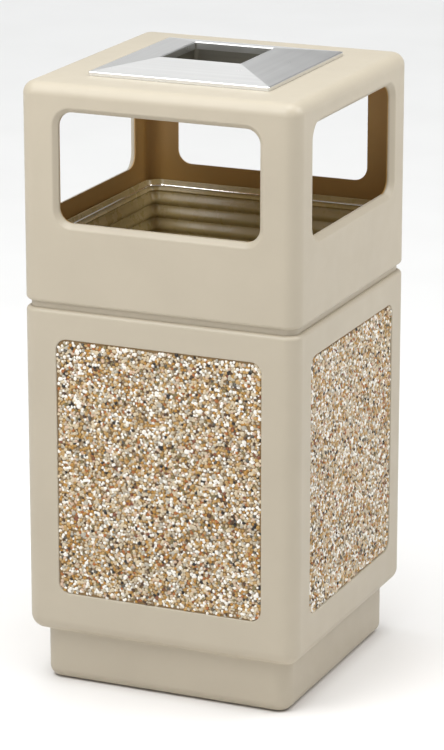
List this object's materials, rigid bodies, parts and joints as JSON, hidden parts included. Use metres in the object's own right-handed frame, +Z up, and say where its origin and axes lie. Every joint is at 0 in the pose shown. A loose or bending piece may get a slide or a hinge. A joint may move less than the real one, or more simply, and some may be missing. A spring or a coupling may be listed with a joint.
{
  "type": "ashtray bin",
  "caption": "Square free-standing litter bin with side openings under a lift-off hood, stone aggregate panels, a ribbed liner and a steel ash tray on top.",
  "frame": {"origin": "centre of the base's flat underside, at the ground", "axes": "+Z up, the front faces -Y, +X to the right seen from the front"},
  "size_m": [0.4636, 0.4636, 0.997],
  "materials": {
    "shell": "beige rotational moulding with a fine leather grain and a soft sheen",
    "backer": "grey glass-filled board",
    "stone": "exposed pebbles in white, tan, ochre and grey, set in resin",
    "screw": "plated steel",
    "steel": "brushed stainless sheet",
    "liner": "tan rigid plastic with a slight gloss, its rim polished bright along the inner lip"
  },
  "bodies": {
    "base": {"base_shell": "shell", "panel_backer_front": "backer", "panel_stone_front": "stone", "panel_screw_front_1": "screw", "panel_screw_front_2": "screw", "panel_screw_front_3": "screw", "panel_screw_front_4": "screw", "panel_backer_right": "backer", "panel_stone_right": "stone", "panel_screw_right_1": "screw", "panel_screw_right_2": "screw", "panel_screw_right_3": "screw", "panel_screw_right_4": "screw", "panel_backer_back": "backer", "panel_stone_back": "stone", "panel_screw_back_1": "screw", "panel_screw_back_2": "screw", "panel_screw_back_3": "screw", "panel_screw_back_4": "screw", "panel_backer_left": "backer", "panel_stone_left": "stone", "panel_screw_left_1": "screw", "panel_screw_left_2": "screw", "panel_screw_left_3": "screw", "panel_screw_left_4": "screw"},
    "liner": {"liner": "liner"},
    "hood": {"hood_shell": "shell"},
    "ash_tray": {"ash_tray_cover": "steel", "ash_tray_pan": "steel"}
  },
  "joints": [
    {"name": "hood_lift", "type": "slide", "parent": "base", "child": "hood", "axis": [0, 0, 1], "range_m": [0, 0.3]},
    {"name": "ash_tray_lift", "type": "slide", "parent": "hood", "child": "ash_tray", "axis": [0, 0, 1], "range_m": [0, 0.12]},
    {"name": "liner_lift", "type": "slide", "parent": "base", "child": "liner", "axis": [0, 0, 1], "range_m": [0, 0.175]}
  ]
}
